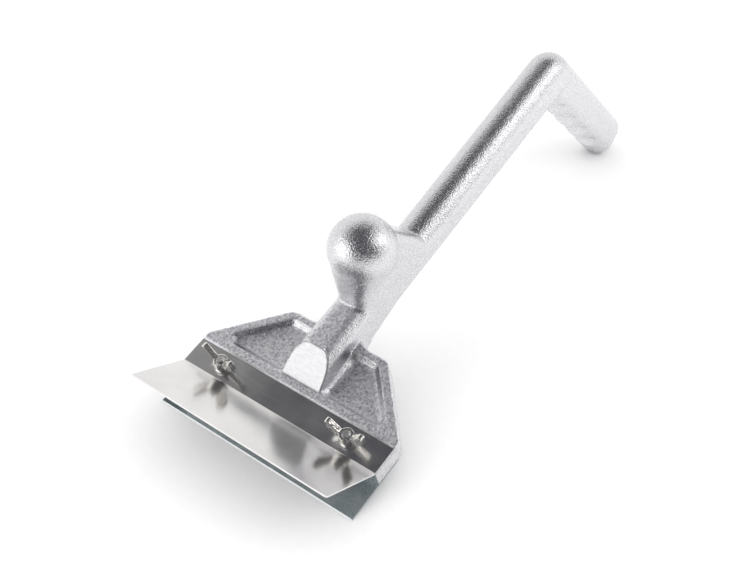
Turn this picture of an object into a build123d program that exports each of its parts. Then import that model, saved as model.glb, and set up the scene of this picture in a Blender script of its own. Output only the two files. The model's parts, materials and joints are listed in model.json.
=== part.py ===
from build123d import *
from math import asin, atan2, cos, degrees, hypot, radians, sin, tan
import os

# Two-handed algae scraper. Everything is in millimetres.
# The tool is drawn in its design frame: X across the blade, Y from the blade back to the
# pistol grip, Z up, with Z = 0 on the underside of the casting and Y = 0 on its front face.
# At the end it is tilted into the way it lies on a table, on its blade edge and grip toe.

# head plate of the casting
HEAD_WIDTH = 150.0
PLATE_THICKNESS = 13.0
SIDE_LENGTH = 23.3            # the part of each side that is square to the blade
REAR_CORNER_X = 37.0
REAR_EDGE_Y = 63.8
REAR_CORNER_R = 9.0
WEB_BLEND_R = 10.0
PLATE_EDGE_R = 1.4
LEDGE_DEPTH = 18.3            # machined seat of the guard, front to back
LEDGE_Z = 11.2
POCKET_BORDER = 6.0
POCKET_DEPTH = 4.0
POCKET_WALL_SLOPE = 42.0
POCKET_CORNER_R = 5.0
POCKET_FLOOR_R = 2.0

# central rib and its ground facet
RIB_FRONT_Y = 16.0
RIB_FRONT_HALF = 15.8
RIB_FRONT_TOP_Z = 24.0
RIB_REAR_Y = 90.0
RIB_REAR_HALF = 12.9
RIB_REAR_TOP_Z = 30.0
RIB_TOP_R = 9.0
RIB_TAPER = 1.2               # how much each flank leans in from its foot to its top
FACET_FOOT_Y = 24.2
FACET_ANGLE = 33.0

# neck and ball knob
BALL_R = 21.4
BALL_Y = 99.8
BALL_Z = 57.5
NECK_FRONT_Y = 77.6
NECK_REAR_Y = 118.0
NECK_CORNER_R = 9.0
NECK_FOOT_Z = 24.0
NECK_WAIST_Z = 37.0           # the neck starts to spread here
NECK_FLARE_Z = 48.5           # it is widest here, just under the ball's surface
NECK_SPREAD = 5.4             # how far each side has spread there
NECK_FLARE_FRONT_Y = 78.9
NECK_TOP_FRONT_Y = 81.5       # hidden inside the ball

# web, bar and pistol grip
BAR_WIDTH = 26.0
BAR_EDGE_R = 12.7
SHOULDER_Y = 139.0
BAR_TOP_Z = 31.5              # crest of the bar at the shoulder
BAR_TOP_RISE = 3.9
BAR_BOTTOM_Y = 106.0
BAR_BOTTOM_Z = 6.0
BAR_BOTTOM_RISE = 3.14
WEB_EDGE_R = 6.0
WEB_FRONT_Y = 70.0
WEB_FRONT_Z = 12.0            # its front end lies inside the plate and the rib
WEB_FOOT = 6.0                # level start of its underside
WEB_NECK_Y = 87.0             # inside the neck, behind its rounded front corners
WEB_BALL_Y = 103.8            # inside the ball
WEB_CREST_Y = 120.3           # its crest leaves the ball here
WEB_CREST_Z = 58.5
WEB_CREST_RUN = 5.0           # how far the crest's line runs on inside the bar
WEB_LAP = 12.0                # how far the web reaches into the bar
WEB_DRAFT = 0.1               # its sides lie this far inside those of the bar
CREST_BEND_R = 20.0           # outer bend between bar and grip
GRIP_TOP_Y = 308.5
GRIP_LEAN = 29.2              # from the vertical
GRIP_DEPTH = 32.5
GRIP_END_Z = -103.5
GRIP_END_R = 9.0
GRIP_INNER_R = 8.0
GRIP_FRONT_R = 11.5
GRIP_STEP = 0.4               # the grip's sides lie this far inside the bar's
GRIP_BACK_STEP = 0.15
GRIP_BACK_R = 12.3
GRIP_END_SKEW = 3.5           # how much further down the grip its heel reaches than its toe
GRIP_TOP_DOWN = 22.0          # its hidden top, inside the bar
FINGER_PITCH = 26.0
FINGER_COUNT = 4
FINGER_START = 22.0           # middle of the first finger groove, below the underside of the bar
FINGER_DEPTH = 6.2
FINGER_R = 12.0
UNDER_EDGE_R = 3.2

# deflector guard: bent stainless sheet
SHEET = 1.0
GUARD_WIDTH = 149.2
FLAP_REACH = 33.9
FLAP_RISE = 29.4
BEND_R = 0.8
GUARD_CORNER_R = 1.5

# blade and its clamp bar
BLADE_WIDTH = 150.0
BLADE_THICKNESS = 1.0
BLADE_REACH = 26.2
BLADE_REAR_Y = 18.8
BEVEL_LENGTH = 0.7
EDGE_LAND = 0.3
CLAMP_WIDTH = 140.0
CLAMP_FRONT_Y = 0.8
CLAMP_REAR_Y = 18.3
CLAMP_THICKNESS = 3.0
CLAMP_CORNER_R = 2.0

# M5 hardware on both sides
BOLT_X = 49.0
BOLT_Y = 8.8
THREAD_R = 2.5
THREAD_PITCH = 0.8
THREAD_DEPTH = 0.35
CLEAR_HOLE_R = 2.75
NUT_BORE_R = 2.55
SCREW_LENGTH = 25.0
SCREW_HEAD_R = 4.6
SCREW_HEAD_HEIGHT = 2.5
SLOT_WIDTH = 1.2
SLOT_DEPTH = 1.1
WASHER_R = 6.0
WASHER_HOLE_R = 2.65
WASHER_THICKNESS = 1.0
NUT_FOOT_R = 5.5
NUT_TOP_R = 4.5
NUT_HUB_HEIGHT = 6.5
WING_THICKNESS = 3.6
WING_TIP_R = 1.3
LEFT_WING_ANGLE = -6.0
RIGHT_WING_ANGLE = 2.0
# one wing in X and Z, from the foot of the hub around the tip to the top of the hub
WING_OUTLINE = [(2.0, 0.6), (5.8, 1.4), (13.0, 6.8), (13.0, 13.4), (10.2, 13.4), (3.8, 6.1)]
WING_TIP_X = 10.0             # the corners beyond this are rounded

# levels that follow from the sizes above
GUARD_TOP_Z = LEDGE_Z + SHEET
WASHER_TOP_Z = GUARD_TOP_Z + WASHER_THICKNESS
CLAMP_BOTTOM_Z = -BLADE_THICKNESS - CLAMP_THICKNESS
HALF_BAR = BAR_WIDTH / 2
WEB_HALF = HALF_BAR - WEB_DRAFT
NECK_HALF = WEB_HALF - WEB_DRAFT
LEAN = radians(GRIP_LEAN)


def point_on(start, slope_degrees, y):
    """Height at y of a straight line through start that rises by slope_degrees."""
    return start[1] + (y - start[0]) * tan(radians(slope_degrees))


def bar_top(y):
    return point_on((SHOULDER_Y, BAR_TOP_Z), BAR_TOP_RISE, y)


def bar_bottom(y):
    return point_on((BAR_BOTTOM_Y, BAR_BOTTOM_Z), BAR_BOTTOM_RISE, y)


def slab(outline, half_width):
    """Extrude an outline drawn in Y and Z to both sides of the middle plane."""
    return extrude(Plane.YZ * outline, half_width, both=True)


def cylinder_at(x, y, low_z, high_z, radius):
    return Pos(x, y, (low_z + high_z) / 2) * Cylinder(radius, high_z - low_z)


def bolt_holes(low_z, high_z, radius):
    return [cylinder_at(side * BOLT_X, BOLT_Y, low_z, high_z, radius) for side in (-1, 1)]


def head_plate():
    corner = HEAD_WIDTH / 2
    stub_end = REAR_EDGE_Y + WEB_BLEND_R + 2
    right = [(corner, 0), (corner, SIDE_LENGTH), (REAR_CORNER_X, REAR_EDGE_Y),
             (HALF_BAR, REAR_EDGE_Y), (HALF_BAR, stub_end)]
    left = [(-x, y) for x, y in reversed(right)]
    outline = make_face(Polyline(*right, *left, close=True))
    rear = [v for v in outline.vertices() if abs(abs(v.X) - REAR_CORNER_X) < 0.1]
    outline = fillet(rear, REAR_CORNER_R)
    inner = [v for v in outline.vertices()
             if abs(abs(v.X) - HALF_BAR) < 0.1 and abs(v.Y - REAR_EDGE_Y) < 0.1]
    outline = fillet(inner, WEB_BLEND_R)
    plate = extrude(outline, PLATE_THICKNESS)
    rim = [e for e in plate.edges().group_by(Axis.Z)[-1] if e.center().Y < stub_end - 1]
    plate = fillet(rim, PLATE_EDGE_R)
    ledge = Pos(0, 0, LEDGE_Z) * Box(2 * HEAD_WIDTH, 2 * LEDGE_DEPTH, 10,
                                     align=(Align.CENTER, Align.CENTER, Align.MIN))
    plate -= ledge
    for side in (-1, 1):
        plate -= pocket(side)
    return plate


def pocket(side):
    """One sunk field beside the rib, with sloping walls and soft corners."""
    run_x = HEAD_WIDTH / 2 - REAR_CORNER_X
    run_y = REAR_EDGE_Y - SIDE_LENGTH
    across = POCKET_BORDER * hypot(run_x, run_y) / run_y
    inner = RIB_FRONT_HALF - 1.5
    front = LEDGE_DEPTH + POCKET_BORDER
    rear = REAR_EDGE_Y - 0.8 * POCKET_BORDER

    def edge_x(y):
        return HEAD_WIDTH / 2 - across - (y - SIDE_LENGTH) * run_x / run_y

    points = [(inner, front), (edge_x(front), front), (edge_x(rear), rear), (inner, rear)]
    outline = make_face(Polyline(*[(side * x, y) for x, y in points], close=True))
    outline = fillet(outline.vertices(), POCKET_CORNER_R)
    sunk = extrude(Pos(0, 0, PLATE_THICKNESS) * outline, -POCKET_DEPTH, taper=POCKET_WALL_SLOPE)
    return fillet(sunk.edges().group_by(Axis.Z)[0], POCKET_FLOOR_R)


def rib_section(y, half, top_z):
    foot_z = PLATE_THICKNESS - POCKET_DEPTH - 2
    points = [(-half, foot_z), (half, foot_z), (half - RIB_TAPER, top_z), (-half + RIB_TAPER, top_z)]
    face = make_face(Polyline(*points, close=True))
    top = face.vertices().group_by(Axis.Y)[-1]
    return Plane(origin=(0, y, 0), x_dir=(1, 0, 0), z_dir=(0, -1, 0)) * fillet(top, RIB_TOP_R)


def rib():
    body = loft([rib_section(RIB_FRONT_Y, RIB_FRONT_HALF, RIB_FRONT_TOP_Z),
                 rib_section(RIB_REAR_Y, RIB_REAR_HALF, RIB_REAR_TOP_Z)], ruled=True)
    facet = Pos(0, FACET_FOOT_Y, PLATE_THICKNESS) * Rot(X=FACET_ANGLE) * Box(
        80, 160, 60, align=(Align.CENTER, Align.CENTER, Align.MIN))
    front = Pos(0, LEDGE_DEPTH, 0) * Box(80, 60, 120, align=(Align.CENTER, Align.MAX, Align.CENTER))
    return body - facet - front


def neck_section(z, spread, front, radius):
    middle = (front + NECK_REAR_Y) / 2
    return Pos(0, middle, z) * RectangleRounded(2 * (NECK_HALF + spread), NECK_REAR_Y - front, radius)


def knob():
    """Ball on a neck that spreads into it and then closes inside it."""
    stem = extrude(neck_section(NECK_FOOT_Z, 0, NECK_FRONT_Y, NECK_CORNER_R), NECK_WAIST_Z - NECK_FOOT_Z)
    flare = loft([neck_section(NECK_WAIST_Z, 0, NECK_FRONT_Y, NECK_CORNER_R),
                  neck_section(NECK_FLARE_Z, NECK_SPREAD, NECK_FLARE_FRONT_Y, NECK_CORNER_R + NECK_SPREAD),
                  neck_section(BALL_Z, NECK_SPREAD, NECK_TOP_FRONT_Y, NECK_CORNER_R + NECK_SPREAD)],
                 ruled=True)
    ball = Pos(0, BALL_Y, BALL_Z) * Sphere(BALL_R)
    return stem + flare + ball


def web():
    """The deep slab that joins the plate, the neck and the bar."""
    rear = SHOULDER_Y + WEB_LAP
    crest_slope = (WEB_CREST_Z - BAR_TOP_Z) / (WEB_CREST_Y - SHOULDER_Y)
    crest_foot = (SHOULDER_Y + WEB_CREST_RUN, BAR_TOP_Z + WEB_CREST_RUN * crest_slope)
    outline = make_face(Polyline(
        (WEB_FRONT_Y, 0), (WEB_FRONT_Y + WEB_FOOT, 0), (BAR_BOTTOM_Y, BAR_BOTTOM_Z),
        (rear, bar_bottom(rear)), (rear, BAR_TOP_Z / 2), crest_foot, (WEB_CREST_Y, WEB_CREST_Z),
        (WEB_BALL_Y, WEB_CREST_Z), (WEB_NECK_Y, NECK_WAIST_Z), (WEB_NECK_Y, NECK_WAIST_Z / 2),
        (WEB_FRONT_Y, WEB_FRONT_Z), close=True))
    body = slab(outline, WEB_HALF)
    crest = side_edges(body, WEB_HALF, lambda y, z: WEB_CREST_Y < y < SHOULDER_Y + 2 and z > BAR_TOP_Z)
    body = fillet(crest, WEB_EDGE_R)
    under = side_edges(body, WEB_HALF, lambda y, z: y > WEB_FRONT_Y + WEB_FOOT and z < bar_bottom(y) + 0.1)
    return fillet(under, UNDER_EDGE_R)


def grip_point(depth, down):
    """A point of the grip: depth from its back line, and down along it from the bar's crest."""
    y = GRIP_TOP_Y - depth * cos(LEAN) + down * sin(LEAN)
    z = bar_top(GRIP_TOP_Y) - depth * sin(LEAN) - down * cos(LEAN)
    return (y, z)


def line_down_to(depth, z):
    """How far down the grip a line at this depth reaches the height z."""
    return (bar_top(GRIP_TOP_Y) - depth * sin(LEAN) - z) / cos(LEAN)


def down_to_bar_bottom(depth):
    """How far down the grip a line at this depth crosses the underside of the bar."""
    down = 0.0
    for _ in range(40):
        y, z = grip_point(depth, down)
        down += (z - bar_bottom(y)) * cos(LEAN)
    return down


def near_vertices(face, y, z):
    return [v for v in face.vertices() if hypot(v.X - y, v.Y - z) < 0.5]


def side_edges(body, half_width, wanted):
    """Edges that lie in either side face and whose middle, in Y and Z, is wanted."""
    return [e for e in body.edges()
            if abs(abs((e @ 0.5).X) - half_width) < 0.01 and wanted((e @ 0.5).Y, (e @ 0.5).Z)]


def bar():
    """Bar with a round top that bends down into the back of the grip."""
    crest = (GRIP_TOP_Y, bar_top(GRIP_TOP_Y))
    low_back = grip_point(0, down_to_bar_bottom(0))
    outline = make_face(Polyline((SHOULDER_Y, bar_bottom(SHOULDER_Y)), (SHOULDER_Y, BAR_TOP_Z), crest,
                                 low_back, close=True))
    outline = fillet(near_vertices(outline, *crest), CREST_BEND_R)
    body = slab(outline, HALF_BAR)
    upper = side_edges(body, HALF_BAR, lambda y, z: y > SHOULDER_Y + 1 and z > bar_bottom(y) + 1)
    body = fillet(upper, BAR_EDGE_R)
    lower = side_edges(body, HALF_BAR, lambda y, z: y > SHOULDER_Y + 1 and z < bar_bottom(y) + 1)
    return fillet(lower, UNDER_EDGE_R)


def grip():
    """Pistol grip, a little narrower than the bar, with finger grooves across its front."""
    start = down_to_bar_bottom(GRIP_DEPTH)
    inner = grip_point(GRIP_DEPTH, start)
    toe_down = line_down_to(GRIP_DEPTH, GRIP_END_Z)
    ahead = inner[0] - 2 * GRIP_INNER_R
    outline = make_face(Polyline(
        (ahead, bar_bottom(ahead) + GRIP_STEP), inner, grip_point(GRIP_DEPTH, toe_down),
        grip_point(GRIP_BACK_STEP, toe_down + GRIP_END_SKEW), grip_point(GRIP_BACK_STEP, GRIP_TOP_DOWN),
        (ahead, bar_top(ahead) - BAR_EDGE_R), close=True))
    outline = fillet(near_vertices(outline, *inner), GRIP_INNER_R)
    half = HALF_BAR - GRIP_STEP
    body = slab(outline, half)

    def depth(y, z):
        return (GRIP_TOP_Y - y) * cos(LEAN) + (bar_top(GRIP_TOP_Y) - z) * sin(LEAN)

    back = side_edges(body, half, lambda y, z: depth(y, z) < 1)
    body = fillet(back, GRIP_BACK_R)
    front = side_edges(body, half, lambda y, z: z < bar_bottom(y) and depth(y, z) > GRIP_DEPTH - 1)
    body = fillet(front, GRIP_FRONT_R)
    end = body.faces().sort_by(Axis.Z)[0]
    body = fillet(end.edges(), GRIP_END_R)
    for i in range(FINGER_COUNT):
        y, z = grip_point(GRIP_DEPTH + FINGER_R - FINGER_DEPTH, start + FINGER_START + i * FINGER_PITCH)
        body -= Pos(0, y, z) * Rot(Y=90) * Cylinder(FINGER_R, 2 * BAR_WIDTH)
    return body


def body_casting():
    """Head plate, rib, neck, ball, web, bar and grip: one aluminium casting."""
    body = head_plate() + rib() + web() + bar() + grip() + knob()
    for hole in bolt_holes(-1, LEDGE_Z + 1, CLEAR_HOLE_R):
        body -= hole
    return body


def deflector_guard():
    """Bent sheet: a flat foot on the machined seat and a flap that rises over the blade."""
    bend = atan2(FLAP_RISE, FLAP_REACH)
    tip = (-FLAP_REACH, GUARD_TOP_Z + FLAP_RISE)
    under_tip = (tip[0] - SHEET * sin(bend), tip[1] - SHEET * cos(bend))
    under_bend = (-SHEET * tan(bend / 2), LEDGE_Z)
    outline = make_face(Polyline((LEDGE_DEPTH - 0.05, GUARD_TOP_Z), (0, GUARD_TOP_Z), tip, under_tip,
                                 under_bend, (LEDGE_DEPTH - 0.05, LEDGE_Z), close=True))
    sheet = slab(outline, GUARD_WIDTH / 2)
    inner = sheet.edges().filter_by(Axis.X).sort_by_distance(Vertex(0, 0, GUARD_TOP_Z))[0]
    sheet = fillet(inner, BEND_R)
    outer = sheet.edges().filter_by(Axis.X).sort_by_distance(Vertex(0, *under_bend))[0]
    sheet = fillet(outer, BEND_R + SHEET)
    corners = [e for e in sheet.edges() if abs(e.length - SHEET) < 0.01 and e.center().Y < -20]
    sheet = fillet(corners, GUARD_CORNER_R)
    for hole in bolt_holes(LEDGE_Z - 1, GUARD_TOP_Z + 1, CLEAR_HOLE_R):
        sheet -= hole
    return sheet


def scraper_blade():
    """Flat steel blade with a bevelled edge and two slots that open to its rear."""
    outline = make_face(Polyline((-BLADE_REACH, -BLADE_THICKNESS),
                                 (-BLADE_REACH, -BLADE_THICKNESS + EDGE_LAND),
                                 (-BLADE_REACH + BEVEL_LENGTH, 0), (BLADE_REAR_Y, 0),
                                 (BLADE_REAR_Y, -BLADE_THICKNESS), close=True))
    blade = slab(outline, BLADE_WIDTH / 2)
    for hole in bolt_holes(-BLADE_THICKNESS - 1, 1, CLEAR_HOLE_R):
        blade -= hole
    for side in (-1, 1):
        blade -= Pos(side * BOLT_X, BOLT_Y, 0) * Box(2 * CLEAR_HOLE_R, 30, 4,
                                                     align=(Align.CENTER, Align.MIN, Align.CENTER))
    return blade


def screw_head(side, clearance):
    """Countersunk cone of a screw head, or of its seat in the clamp bar."""
    return Pos(side * BOLT_X, BOLT_Y, CLAMP_BOTTOM_Z + SCREW_HEAD_HEIGHT / 2) * Cone(
        SCREW_HEAD_R + clearance, THREAD_R + clearance, SCREW_HEAD_HEIGHT)


def blade_clamp_bar():
    """Steel bar under the blade that the two screws draw upwards."""
    depth = CLAMP_REAR_Y - CLAMP_FRONT_Y
    bar = Pos(0, CLAMP_FRONT_Y + depth / 2, -BLADE_THICKNESS - CLAMP_THICKNESS / 2) * Box(
        CLAMP_WIDTH, depth, CLAMP_THICKNESS)
    bar = fillet(bar.edges().filter_by(Axis.Z), CLAMP_CORNER_R)
    for side in (-1, 1):
        bar -= screw_head(side, 0.0)
        bar -= cylinder_at(side * BOLT_X, BOLT_Y, CLAMP_BOTTOM_Z, 0, THREAD_R)
    return bar


def clamp_screw(side):
    """M5 countersunk screw with ring-cut thread on its upper part and a slotted head."""
    end_z = CLAMP_BOTTOM_Z + SCREW_LENGTH
    thread_start = GUARD_TOP_Z
    turns = int((end_z - 0.4 - thread_start) / THREAD_PITCH)
    points = [(0, CLAMP_BOTTOM_Z), (THREAD_R, CLAMP_BOTTOM_Z)]
    for i in range(turns):
        base = thread_start + i * THREAD_PITCH
        points += [(THREAD_R, base), (THREAD_R - THREAD_DEPTH, base + THREAD_PITCH / 2)]
    points += [(THREAD_R, thread_start + turns * THREAD_PITCH), (THREAD_R - 0.5, end_z), (0, end_z)]
    shank = revolve(Plane.XZ * make_face(Polyline(*points, close=True)), Axis.Z)
    screw = Pos(side * BOLT_X, BOLT_Y, 0) * shank + screw_head(side, 0.0)
    slot = Pos(side * BOLT_X, BOLT_Y, CLAMP_BOTTOM_Z) * Box(20, SLOT_WIDTH, 2 * SLOT_DEPTH)
    return screw - slot


def washer(side):
    ring = Cylinder(WASHER_R, WASHER_THICKNESS) - Cylinder(WASHER_HOLE_R, 2 * WASHER_THICKNESS)
    return Pos(side * BOLT_X, BOLT_Y, GUARD_TOP_Z + WASHER_THICKNESS / 2) * ring


def wing_nut(side, angle):
    """Round hub with two straight rising wings, M5 size."""
    hub = Pos(0, 0, NUT_HUB_HEIGHT / 2) * Cone(NUT_FOOT_R, NUT_TOP_R, NUT_HUB_HEIGHT)
    mirrored = [(-x, z) for x, z in reversed(WING_OUTLINE)]
    profile = make_face(Polyline(*WING_OUTLINE, *mirrored, close=True))
    profile = fillet([v for v in profile.vertices() if abs(v.X) > WING_TIP_X], WING_TIP_R)
    wings = extrude(Plane.XZ * profile, WING_THICKNESS / 2, both=True)
    nut = hub + wings - Cylinder(NUT_BORE_R, 60)
    turned = Pos(side * BOLT_X, BOLT_Y, WASHER_TOP_Z) * Rot(Z=angle)
    return turned * nut


def toe_centre():
    """Centre, in Y and Z, of the round toe of the grip that meets the table."""
    slope = atan2(GRIP_END_SKEW, GRIP_DEPTH - GRIP_BACK_STEP)
    down = line_down_to(GRIP_DEPTH, GRIP_END_Z) + GRIP_END_R * (tan(slope) - 1 / cos(slope))
    return grip_point(GRIP_DEPTH - GRIP_END_R, down)


def resting_tilt():
    """Tilt that lets the blade edge and the toe of the grip touch one table together."""
    toe_y, toe_z = toe_centre()
    along = toe_y + BLADE_REACH
    below = -BLADE_THICKNESS - toe_z
    return atan2(below, along) + asin(GRIP_END_R / hypot(along, below))


def build_nodes():
    return {
        "body_casting": body_casting(),
        "deflector_guard": deflector_guard(),
        "scraper_blade": scraper_blade(),
        "blade_clamp_bar": blade_clamp_bar(),
        "clamp_screw_left": clamp_screw(-1),
        "clamp_screw_right": clamp_screw(1),
        "washer_left": washer(-1),
        "washer_right": washer(1),
        "wing_nut_left": wing_nut(-1, LEFT_WING_ANGLE),
        "wing_nut_right": wing_nut(1, RIGHT_WING_ANGLE),
    }


nodes = build_nodes()
tilt = degrees(resting_tilt())
tilted = {name: Rot(X=tilt) * solid for name, solid in nodes.items()}
boxes = [solid.bounding_box() for solid in tilted.values()]
middle_y = (min(b.min.Y for b in boxes) + max(b.max.Y for b in boxes)) / 2
table_z = min(b.min.Z for b in boxes)
os.makedirs("parts", exist_ok=True)
for name, solid in tilted.items():
    placed = Pos(0, -middle_y, -table_z) * solid
    placed.label = name
    export_step(placed, f"parts/{name}.step")
print("tilt in degrees", round(tilt, 9))
print("design origin in the row frame", round(-middle_y, 7), round(-table_z, 7))
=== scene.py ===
"""Looks of the algae scraper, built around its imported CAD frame. Everything is in metres."""
import json
import math

import bpy
import numpy as np
from mathutils import Matrix, Vector


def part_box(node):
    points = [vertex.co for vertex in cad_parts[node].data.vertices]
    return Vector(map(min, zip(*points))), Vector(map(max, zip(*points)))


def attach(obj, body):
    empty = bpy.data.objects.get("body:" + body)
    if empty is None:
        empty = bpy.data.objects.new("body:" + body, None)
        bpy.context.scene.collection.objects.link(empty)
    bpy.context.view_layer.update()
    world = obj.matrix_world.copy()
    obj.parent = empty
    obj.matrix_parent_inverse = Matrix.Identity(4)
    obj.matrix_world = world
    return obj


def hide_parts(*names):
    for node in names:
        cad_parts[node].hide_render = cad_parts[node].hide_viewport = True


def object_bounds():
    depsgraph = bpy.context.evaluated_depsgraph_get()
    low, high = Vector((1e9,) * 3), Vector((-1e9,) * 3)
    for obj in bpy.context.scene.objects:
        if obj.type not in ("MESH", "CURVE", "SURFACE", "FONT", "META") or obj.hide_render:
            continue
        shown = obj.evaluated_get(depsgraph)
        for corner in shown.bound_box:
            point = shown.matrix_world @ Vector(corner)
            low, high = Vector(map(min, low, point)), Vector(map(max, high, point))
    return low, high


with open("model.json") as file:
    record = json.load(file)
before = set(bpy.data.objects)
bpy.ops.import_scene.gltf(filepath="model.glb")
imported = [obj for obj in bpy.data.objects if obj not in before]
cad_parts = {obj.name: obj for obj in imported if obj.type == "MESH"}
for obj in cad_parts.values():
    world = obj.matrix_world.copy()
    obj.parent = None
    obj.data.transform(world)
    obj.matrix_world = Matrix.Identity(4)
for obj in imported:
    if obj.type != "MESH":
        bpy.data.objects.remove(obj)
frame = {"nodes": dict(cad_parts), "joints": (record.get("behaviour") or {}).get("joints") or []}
cad_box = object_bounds()

# The head's own axes. The tool lies tilted on its blade edge and grip toe, so its design frame is
# found from the left nut's joint: its axis is the design frame's Z, and its place is the bolt's seat.
BOLT_SEAT = Vector((-0.049, 0.0088, 0.0122))
LEDGE_DEPTH = 0.0183
PLATE_TOP = 0.013
FACET_FOOT = 0.0242
FACET_ANGLE = math.radians(33.0)
RIB_HALF = 0.0165
NECK_FRONT = 0.072
WEB_FRONT = 0.087
BLADE_FRONT = -0.0262
BEVEL_LENGTH = 0.0007

# the photographer's place, seen from the middle of the tool
CAMERA_AZIMUTH = math.radians(39.02)
CAMERA_ELEVATION = math.radians(41.26)
CAMERA_ROLL = math.radians(1.33)
CAMERA_DISTANCE = 0.8
CAMERA_AIM = Vector((-0.0356, -0.0358, 0.0008))
LENS_MM = 56.44
SENSOR_MM = 36.0

# the dim opening of the tent: the way to its middle, and the cosines at which it starts and ends
OPENING = (0.40, -0.30, 0.86)
OPENING_RIM = (0.34, 0.50)
TENT_LIGHT = 1.0
FILL_STRENGTH = 2.4
FILL_SOFTNESS = math.radians(120.0)

SOFTBOX_WIDTH = 0.9
SOFTBOX_HEIGHT = 0.8
ROOM_SCALE = 7.0
ROOM_DARK = (0.03, 0.035, 0.05, 1.0)
ROOM_LIGHT = (0.18, 0.175, 0.18, 1.0)
FLOOR_HALF = 4.0
CASTING_VOXEL = 0.0006
CASTING_TRIANGLES = 185000
NUT_VOXEL = 0.00022
FILL_STEP = 0.5
CORNER_ROUNDS = 140
MELT_ROUNDS = 100

# where the casting is melted smooth: start, full, fading and end of each zone in the design frame
FLARE_HEIGHTS = (0.038, 0.043, 0.052, 0.057)
SHOULDER_DEPTHS = (0.078, 0.082, 0.091, 0.096)
SHOULDER_HEIGHTS = (0.018, 0.022, 0.033, 0.038)

# how far a point may lie from the ground facet, the plate and the milled step and still belong to it
FACET_SLACK = 0.0003
PLATE_SLACK = 0.0002
STEP_SLACK = 0.0006


def design_frame():
    """Matrix that takes a point of the row frame to the design frame."""
    joint = next(j for j in frame["joints"] if j["name"] == "wing_nut_left_turn")
    up = Vector(joint["axis"]).normalized()
    across = Vector((1.0, 0.0, 0.0))
    rotation = Matrix((across, up.cross(across), up))
    return rotation.to_4x4() @ Matrix.Translation(-Vector(joint["pos_m"])), rotation


def to_design_points(points):
    """Points of the row frame, one per row, in the design frame."""
    seat_matrix, _ = design_frame()
    matrix = np.array(seat_matrix)
    return points @ matrix[:3, :3].T + matrix[:3, 3] + np.array(BOLT_SEAT)


def to_row_points(points):
    """The way back from the design frame to the row frame."""
    seat_matrix, _ = design_frame()
    matrix = np.array(seat_matrix)
    return (points - np.array(BOLT_SEAT) - matrix[:3, 3]) @ matrix[:3, :3]


# ---------------------------------------------------------------- meshes

def read_points(mesh):
    points = np.empty(len(mesh.vertices) * 3)
    mesh.vertices.foreach_get("co", points)
    return points.reshape(-1, 3)


def write_points(mesh, points):
    mesh.vertices.foreach_set("co", points.ravel())
    mesh.update()


def read_normals(mesh):
    normals = np.empty(len(mesh.vertices) * 3)
    mesh.vertices.foreach_get("normal", normals)
    return normals.reshape(-1, 3)


def read_edges(mesh):
    edges = np.empty(len(mesh.edges) * 2, dtype=np.int64)
    mesh.edges.foreach_get("vertices", edges)
    return edges.reshape(-1, 2)


def towards_neighbours(points, edges):
    """For each point, the vector to the mean of the points it shares an edge with."""
    count = len(points)
    total = np.zeros_like(points)
    shares = np.bincount(edges.ravel(), minlength=count)
    for axis in range(3):
        values = points[:, axis]
        total[:, axis] = np.bincount(edges[:, 0], values[edges[:, 1]], count)
        total[:, axis] += np.bincount(edges[:, 1], values[edges[:, 0]], count)
    return total / shares[:, None] - points


def even_out(points, edges, weight, rounds):
    """Smooth without shrinking: each round steps in and then a little further out."""
    for _ in range(rounds):
        points = points + 0.5 * weight * towards_neighbours(points, edges)
        points = points - 0.52 * weight * towards_neighbours(points, edges)
    return points


def melt(points, edges, weight, rounds):
    """Plain smoothing, which also draws the surface in a little."""
    for _ in range(rounds):
        points = points + 0.5 * weight * towards_neighbours(points, edges)
    return points


def fill_corners(mesh, points, edges, weight, rounds):
    """Round inner corners only, as molten metal does: a point moves out of the metal, never in."""
    for turn in range(rounds):
        if turn % 20 == 0:
            write_points(mesh, points)
            normals = read_normals(mesh)
        step = towards_neighbours(points, edges)
        outwards = np.sum(step * normals, axis=1, keepdims=True)
        points = points + FILL_STEP * weight * np.maximum(outwards, 0.0) * normals
    return points


def applied(source, name, kind, **settings):
    """A new object that holds the source's mesh with one modifier applied."""
    modifier = source.modifiers.new(kind, kind)
    for key, value in settings.items():
        setattr(modifier, key, value)
    bpy.context.view_layer.update()
    evaluated = source.evaluated_get(bpy.context.evaluated_depsgraph_get())
    mesh = bpy.data.meshes.new_from_object(evaluated)
    source.modifiers.remove(modifier)
    piece = bpy.data.objects.new(name, mesh)
    bpy.context.scene.collection.objects.link(piece)
    return piece


def remeshed(node, name, voxel):
    """An even mesh of a CAD node, made in the design frame so that its flat faces stay flat."""
    working = bpy.data.objects.new(name + "_working", frame["nodes"][node].data.copy())
    bpy.context.scene.collection.objects.link(working)
    write_points(working.data, to_design_points(read_points(working.data)))
    piece = applied(working, name, "REMESH", mode="VOXEL", voxel_size=voxel, use_smooth_shade=True)
    bpy.data.objects.remove(working)
    return piece


def settle(mesh, points, node):
    """Bring a mesh back to the row frame and keep it inside the box of its CAD node."""
    lowest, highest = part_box(node)
    write_points(mesh, np.clip(to_row_points(points), np.array(lowest), np.array(highest)))


def smooth_ramp(values, low, high):
    share = np.clip((values - low) / (high - low), 0.0, 1.0)
    return share * share * (3.0 - 2.0 * share)


def band(values, start, full, fading, end):
    """1 from full to fading, and 0 before start and past end."""
    return smooth_ramp(values, start, full) * (1.0 - smooth_ramp(values, fading, end))


def mark(mesh, name, values):
    """Store one number per point for a material to read."""
    attribute = mesh.attributes.new(name, "FLOAT", "POINT")
    attribute.data.foreach_set("value", values.astype(np.float32))


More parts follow.
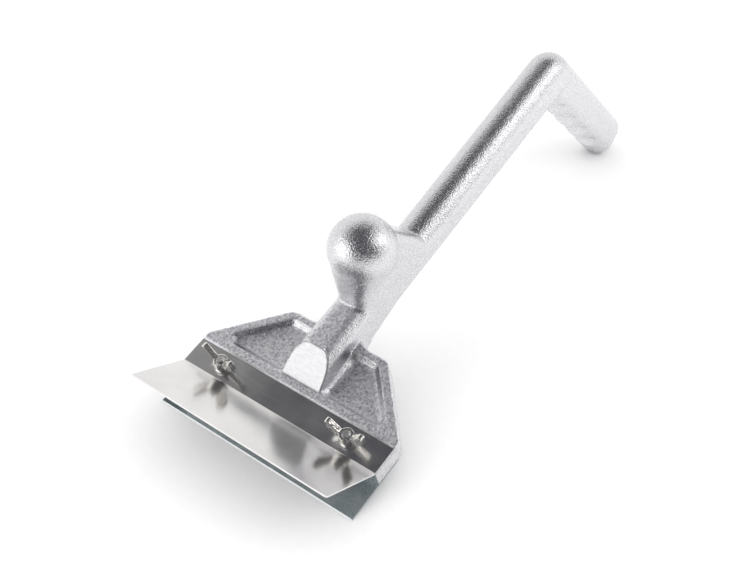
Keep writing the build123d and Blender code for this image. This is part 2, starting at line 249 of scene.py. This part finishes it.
def make_casting():
    """The casting with the soft inner corners of a poured part and its ground faces marked."""
    rough = remeshed("body_casting", "cast_body_rough", CASTING_VOXEL)
    mesh = rough.data
    points = read_points(mesh)
    edges = read_edges(mesh)
    behind_ledge = smooth_ramp(points[:, 1], LEDGE_DEPTH + 0.001, LEDGE_DEPTH + 0.004)
    on_neck = band(points[:, 1], NECK_FRONT - 0.006, NECK_FRONT, WEB_FRONT, WEB_FRONT + 0.009)
    points = even_out(points, edges, 1.0, 3)
    soft = (0.12 * behind_ledge + 0.8 * on_neck)[:, None]
    points = fill_corners(mesh, points, edges, soft, CORNER_ROUNDS)
    points = even_out(points, edges, (0.25 + 0.75 * behind_ledge)[:, None], 10)
    on_flare = on_neck * band(points[:, 2], *FLARE_HEIGHTS)
    on_shoulder = band(points[:, 1], *SHOULDER_DEPTHS) * band(points[:, 2], *SHOULDER_HEIGHTS)
    points = melt(points, edges, np.maximum(on_flare, on_shoulder)[:, None], MELT_ROUNDS)
    write_points(mesh, points)
    thinned = CASTING_TRIANGLES / (2.0 * len(mesh.polygons))
    piece = applied(rough, "cast_body", "DECIMATE", ratio=min(1.0, thinned))
    bpy.data.objects.remove(rough)
    mark_finishes(piece.data)
    settle(piece.data, read_points(piece.data), "body_casting")
    return piece


def mark_finishes(mesh):
    """Marks the ground facet and the milled step, and the rougher sand-cast head and rib."""
    points = read_points(mesh)
    above = points[:, 2] - PLATE_TOP
    off_facet = (points[:, 1] - FACET_FOOT) * -math.sin(FACET_ANGLE) + above * math.cos(FACET_ANGLE)
    on_rib = np.abs(points[:, 0]) < RIB_HALF
    on_facet = (np.abs(off_facet) < FACET_SLACK) & (above > PLATE_SLACK) & on_rib
    on_step = (np.abs(points[:, 1] - LEDGE_DEPTH) < STEP_SLACK) & (above < PLATE_SLACK)
    mark(mesh, "ground", (on_facet | on_step).astype(float))
    head = 1.0 - smooth_ramp(points[:, 1], NECK_FRONT, NECK_FRONT + 0.006)
    upward = smooth_ramp(read_normals(mesh)[:, 2], 0.70, 0.95)
    mark(mesh, "sandy", head * upward)


def make_wing_nut(node):
    """A wing nut with the rounded edges of a forging."""
    piece = remeshed(node, node + "_forged", NUT_VOXEL)
    mesh = piece.data
    points = read_points(mesh)
    edges = read_edges(mesh)
    points = even_out(points, edges, 1.0, 4)
    points = melt(points, edges, 1.0, 2)
    points = even_out(points, edges, 1.0, 12)
    settle(mesh, points, node)
    return piece


# ---------------------------------------------------------------- materials

class Surface:
    """A metal whose colour, roughness and bump come from nodes."""

    def __init__(self, name):
        self.material = bpy.data.materials.new(name)
        self.material.use_nodes = True
        self.nodes = self.material.node_tree.nodes
        self.links = self.material.node_tree.links
        self.shader = self.nodes["Principled BSDF"]
        self.shader.inputs["Metallic"].default_value = 1.0
        self.place = self.add("ShaderNodeTexCoord").outputs["Object"]
        self.height = None

    def add(self, kind, **settings):
        node = self.nodes.new(kind)
        for key, value in settings.items():
            setattr(node, key, value)
        return node

    def join(self, source, target):
        self.links.new(source, target)

    def stretched(self, scale):
        """Texture coordinates along the head's own axes, scaled per axis."""
        _, rotation = design_frame()
        mapping = self.add("ShaderNodeMapping")
        mapping.inputs["Rotation"].default_value = rotation.to_euler()
        mapping.inputs["Scale"].default_value = scale
        self.join(self.place, mapping.inputs["Vector"])
        return mapping.outputs["Vector"]

    def design_place(self):
        """Object coordinates turned into the design frame."""
        seat_matrix, rotation = design_frame()
        mapping = self.add("ShaderNodeMapping", vector_type="POINT")
        mapping.inputs["Location"].default_value = seat_matrix.translation + BOLT_SEAT
        mapping.inputs["Rotation"].default_value = rotation.to_euler()
        self.join(self.place, mapping.inputs["Vector"])
        return mapping.outputs["Vector"]

    def noise(self, grain, detail=3.0, roughness=0.55, vector=None):
        """Noise whose features are about grain metres wide, or one unit of the given vector."""
        node = self.add("ShaderNodeTexNoise")
        node.inputs["Scale"].default_value = 1.0 / grain
        node.inputs["Detail"].default_value = detail
        node.inputs["Roughness"].default_value = roughness
        self.join(vector or self.place, node.inputs["Vector"])
        return node.outputs["Fac"]

    def spread(self, value, low_in, high_in, low_out, high_out):
        node = self.add("ShaderNodeMapRange")
        node.inputs["From Min"].default_value = low_in
        node.inputs["From Max"].default_value = high_in
        node.inputs["To Min"].default_value = low_out
        node.inputs["To Max"].default_value = high_out
        self.join(value, node.inputs["Value"])
        return node.outputs["Result"]

    def math(self, operation, first, second):
        node = self.add("ShaderNodeMath", operation=operation)
        for socket, value in zip(node.inputs, (first, second)):
            if isinstance(value, (int, float)):
                socket.default_value = value
            else:
                self.join(value, socket)
        return node.outputs["Value"]

    def ramp(self, value, *stops):
        node = self.add("ShaderNodeValToRGB")
        elements = node.color_ramp.elements
        while len(elements) < len(stops):
            elements.new(1.0)
        for element, (position, colour) in zip(elements, stops):
            element.position = position
            element.color = (*colour, 1.0)
        self.join(value, node.inputs["Fac"])
        return node.outputs["Color"]

    def mix(self, share, first, second):
        node = self.add("ShaderNodeMix", data_type="RGBA")
        self.join(share, node.inputs["Factor"])
        self.join(first, node.inputs["A"])
        self.join(second, node.inputs["B"])
        return node.outputs["Result"]

    def mix_value(self, share, first, second):
        """first where share is 0, second where it is 1."""
        part = self.math("MULTIPLY", self.math("SUBTRACT", second, first), share)
        return self.math("ADD", first, part)

    def colour(self, socket):
        self.join(socket, self.shader.inputs["Base Color"])

    def roughness(self, socket):
        self.join(socket, self.shader.inputs["Roughness"])

    def bump(self, height, distance, strength=1.0):
        """Adds one layer of relief, with its depth in metres."""
        node = self.add("ShaderNodeBump")
        node.inputs["Distance"].default_value = distance
        node.inputs["Strength"].default_value = strength
        self.join(height, node.inputs["Height"])
        if self.height is not None:
            self.join(self.height, node.inputs["Normal"])
        self.height = node.outputs["Normal"]
        self.join(self.height, self.shader.inputs["Normal"])

    def attribute(self, name):
        return self.add("ShaderNodeAttribute", attribute_name=name).outputs["Fac"]


def cast_aluminium():
    """Bright sand-cast aluminium: grainy, slightly lavender, with smooth ground faces."""
    surface = Surface("cast_aluminium_skin")
    ground = surface.attribute("ground")
    as_cast = surface.math("SUBTRACT", 1.0, ground)
    sandy = surface.attribute("sandy")
    grain = surface.noise(0.0009, detail=1.5, roughness=0.6)
    pits = surface.noise(0.0035, detail=3.0, roughness=0.6)
    clouds = surface.noise(0.02, detail=3.0)
    flecks = surface.noise(0.0017, detail=4.0, roughness=0.75)
    rubbed = surface.ramp(grain, (0.36, (0.62, 0.61, 0.635)), (0.50, (0.71, 0.70, 0.72)),
                          (0.64, (0.80, 0.80, 0.81)))
    rough = surface.ramp(flecks, (0.38, (0.44, 0.43, 0.48)), (0.50, (0.76, 0.755, 0.79)),
                         (0.62, (0.97, 0.97, 0.98)))
    skin = surface.mix(sandy, rubbed, rough)
    scratches = surface.noise(1.0, detail=3.0, vector=surface.stretched((260.0, 800.0, 800.0)))
    polished = surface.ramp(scratches, (0.36, (0.58, 0.58, 0.60)), (0.64, (0.78, 0.78, 0.78)))
    surface.colour(surface.mix(ground, skin, polished))
    cloudy = surface.spread(clouds, 0.3, 0.7, 0.22, 0.30)
    matt = surface.math("MULTIPLY", sandy, 0.12)
    uneven = surface.math("ADD", matt, surface.spread(grain, 0.3, 0.7, -0.05, 0.05))
    grainy = surface.math("ADD", cloudy, uneven)
    surface.roughness(surface.mix_value(ground, grainy, surface.spread(scratches, 0.3, 0.7, 0.34, 0.46)))
    surface.bump(surface.math("MULTIPLY", pits, as_cast), 0.00015)
    coarse = surface.math("MULTIPLY", as_cast, surface.math("ADD", 1.0, surface.math("MULTIPLY", sandy, 0.7)))
    surface.bump(surface.math("MULTIPLY", grain, coarse), 0.00034)
    surface.bump(scratches, 0.00003)
    return surface.material


def polished_stainless():
    """Bright rolled sheet with faint rolling lines across the tool and a few soft smears."""
    surface = Surface("guard_sheet")
    lines = surface.noise(1.0, detail=3.0, vector=surface.stretched((60.0, 3500.0, 3500.0)))
    smears = surface.noise(0.03, detail=4.0)
    surface.colour(surface.ramp(smears, (0.3, (0.74, 0.73, 0.72)), (0.7, (0.83, 0.82, 0.81))))
    surface.roughness(surface.math("ADD", surface.spread(smears, 0.3, 0.7, 0.15, 0.21),
                                   surface.spread(lines, 0.3, 0.7, -0.02, 0.03)))
    surface.bump(lines, 0.000006)
    surface.bump(surface.noise(0.04, detail=1.0), 0.00025)
    return surface.material


def blade_steel():
    """Dark satin blade with grinding lines square to its edge and a bright bevel."""
    surface = Surface("blade_flat")
    lines = surface.noise(1.0, detail=3.0, vector=surface.stretched((3200.0, 90.0, 3200.0)))
    stains = surface.noise(0.018, detail=4.0)
    dark = surface.ramp(stains, (0.3, (0.20, 0.24, 0.255)), (0.7, (0.30, 0.335, 0.345)))
    bright = surface.ramp(lines, (0.3, (0.66, 0.68, 0.69)), (0.7, (0.80, 0.81, 0.82)))
    shift = surface.add("ShaderNodeSeparateXYZ")
    surface.join(surface.design_place(), shift.inputs["Vector"])
    edge = surface.spread(shift.outputs["Y"], BLADE_FRONT + BEVEL_LENGTH + 0.0001,
                          BLADE_FRONT + BEVEL_LENGTH - 0.0001, 0.0, 1.0)
    surface.colour(surface.mix(edge, dark, bright))
    surface.roughness(surface.math("ADD", surface.spread(stains, 0.3, 0.7, 0.22, 0.32),
                                   surface.spread(lines, 0.3, 0.7, -0.04, 0.05)))
    surface.bump(lines, 0.00001)
    return surface.material


def bright_nickel():
    """Nickel-plated forging with soft dents and small wear marks."""
    surface = Surface("nut_plating")
    dents = surface.noise(0.0022, detail=2.0)
    wear = surface.noise(0.0008, detail=4.0, roughness=0.7)
    surface.colour(surface.ramp(wear, (0.35, (0.76, 0.74, 0.70)), (0.6, (0.95, 0.93, 0.89))))
    surface.roughness(surface.spread(wear, 0.3, 0.7, 0.10, 0.22))
    surface.bump(dents, 0.00022)
    surface.bump(wear, 0.00002)
    return surface.material


def plain_stainless(name, light, dark, grain):
    """Turned or sawn stainless steel with fine irregular lines."""
    surface = Surface(name)
    lines = surface.noise(grain, detail=4.0, roughness=0.65)
    patches = surface.noise(0.006, detail=2.0)
    surface.colour(surface.ramp(patches, (0.3, dark), (0.7, light)))
    surface.roughness(surface.spread(lines, 0.3, 0.7, 0.24, 0.38))
    surface.bump(lines, 0.00003)
    return surface.material


def pale_floor():
    """Matt white paper."""
    surface = Surface("floor_paper")
    surface.shader.inputs["Metallic"].default_value = 0.0
    fibres = surface.noise(0.004, detail=3.0)
    surface.colour(surface.ramp(fibres, (0.3, (0.88, 0.88, 0.88)), (0.7, (0.90, 0.90, 0.90))))
    surface.roughness(surface.spread(fibres, 0.3, 0.7, 0.85, 0.95))
    return surface.material


def dress(piece, material):
    piece.data.materials.clear()
    piece.data.materials.append(material)


def dress_node(node, material):
    for slot in frame["nodes"][node].material_slots:
        slot.material = material


# ---------------------------------------------------------------- stage

def camera_axes():
    """Right, up and back of the camera."""
    back = Vector((math.sin(CAMERA_AZIMUTH) * math.cos(CAMERA_ELEVATION),
                   -math.cos(CAMERA_AZIMUTH) * math.cos(CAMERA_ELEVATION), math.sin(CAMERA_ELEVATION)))
    level = Vector((math.cos(CAMERA_AZIMUTH), math.sin(CAMERA_AZIMUTH), 0.0))
    upright = back.cross(level)
    right = math.cos(CAMERA_ROLL) * level - math.sin(CAMERA_ROLL) * upright
    return right, back.cross(right), back


def add_camera():
    right, up, back = camera_axes()
    lens = bpy.data.cameras.new("camera")
    lens.lens = LENS_MM
    lens.sensor_width = SENSOR_MM
    lens.clip_start = 0.01
    camera = bpy.data.objects.new("camera", lens)
    turned = Matrix((right, up, back)).transposed().to_4x4()
    camera.matrix_world = Matrix.Translation(CAMERA_AIM + CAMERA_DISTANCE * back) @ turned
    bpy.context.scene.collection.objects.link(camera)
    bpy.context.scene.camera = camera


def add_fill():
    """Very soft light from above that whitens the floor and stays out of reflections."""
    lamp = bpy.data.lights.new("fill", "SUN")
    lamp.energy = FILL_STRENGTH
    lamp.angle = FILL_SOFTNESS
    fill = bpy.data.objects.new("fill", lamp)
    fill.visible_glossy = False
    bpy.context.scene.collection.objects.link(fill)


def add_softbox(name, direction, distance, radiance):
    """Rectangular lamp that looks at the tool, given by the brightness of its face."""
    middle = (Vector(cad_box[0]) + Vector(cad_box[1])) / 2.0
    away = Vector(direction).normalized()
    lamp = bpy.data.lights.new(name, "AREA")
    lamp.shape = "RECTANGLE"
    lamp.size = SOFTBOX_WIDTH
    lamp.size_y = SOFTBOX_HEIGHT
    lamp.energy = radiance * math.pi * SOFTBOX_WIDTH * SOFTBOX_HEIGHT
    box = bpy.data.objects.new(name, lamp)
    box.location = middle + distance * away
    box.rotation_euler = away.to_track_quat("Z", "Y").to_euler()
    bpy.context.scene.collection.objects.link(box)


def add_floor():
    mesh = bpy.data.meshes.new("floor")
    half = FLOOR_HALF
    mesh.from_pydata([(-half, -half, 0.0), (half, -half, 0.0), (half, half, 0.0), (-half, half, 0.0)], [],
                     [(0, 1, 2, 3)])
    floor = bpy.data.objects.new("floor", mesh)
    bpy.context.scene.collection.objects.link(floor)
    dress(floor, pale_floor())


def add_surroundings():
    """A white tent whose top opens into a dim room."""
    world = bpy.data.worlds.new("tent")
    world.use_nodes = True
    nodes = world.node_tree.nodes
    links = world.node_tree.links
    direction = nodes.new("ShaderNodeTexCoord").outputs["Generated"]
    towards_opening = nodes.new("ShaderNodeVectorMath")
    towards_opening.operation = "DOT_PRODUCT"
    towards_opening.inputs[1].default_value = Vector(OPENING).normalized()
    links.new(direction, towards_opening.inputs[0])
    dimness = nodes.new("ShaderNodeValToRGB")
    elements = dimness.color_ramp.elements
    elements[0].position, elements[1].position = OPENING_RIM
    elements[0].color = (TENT_LIGHT, TENT_LIGHT, TENT_LIGHT, 1.0)
    elements[1].color = (0.0, 0.0, 0.0, 1.0)
    links.new(towards_opening.outputs["Value"], dimness.inputs["Fac"])
    room = nodes.new("ShaderNodeTexNoise")
    room.inputs["Scale"].default_value = ROOM_SCALE
    room.inputs["Detail"].default_value = 1.0
    links.new(direction, room.inputs["Vector"])
    furniture = nodes.new("ShaderNodeValToRGB")
    elements = furniture.color_ramp.elements
    elements[0].position, elements[1].position = 0.4, 0.6
    elements[0].color = ROOM_DARK
    elements[1].color = ROOM_LIGHT
    links.new(room.outputs["Fac"], furniture.inputs["Fac"])
    brightest = nodes.new("ShaderNodeMix")
    brightest.data_type = "RGBA"
    brightest.blend_type = "LIGHTEN"
    brightest.inputs["Factor"].default_value = 1.0
    links.new(dimness.outputs["Color"], brightest.inputs["A"])
    links.new(furniture.outputs["Color"], brightest.inputs["B"])
    links.new(brightest.outputs["Result"], nodes["Background"].inputs["Color"])
    bpy.context.scene.world = world


def build():
    add_camera()
    add_floor()
    add_surroundings()
    add_softbox("right_softbox", (0.70, 0.40, 0.60), 1.2, 1.7)
    add_softbox("front_softbox", (-0.38, -0.86, 0.33), 1.3, 1.4)
    add_fill()

    casting = make_casting()
    dress(casting, cast_aluminium())
    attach(casting, "casting")
    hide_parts("body_casting")

    nickel = bright_nickel()
    for side in ("left", "right"):
        nut = make_wing_nut("wing_nut_" + side)
        dress(nut, nickel)
        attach(nut, side + "_wing_nut")
        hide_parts("wing_nut_" + side)

    turned = plain_stainless("turned_steel", (0.80, 0.80, 0.79), (0.64, 0.64, 0.63), 0.0005)
    sawn = plain_stainless("sawn_steel", (0.74, 0.74, 0.74), (0.60, 0.60, 0.61), 0.0012)
    for side in ("left", "right"):
        dress_node("clamp_screw_" + side, turned)
        dress_node("washer_" + side, turned)
    dress_node("blade_clamp_bar", sawn)
    dress_node("scraper_blade", blade_steel())
    dress_node("deflector_guard", polished_stainless())
    bpy.context.scene.view_settings.view_transform = "Standard"


build()
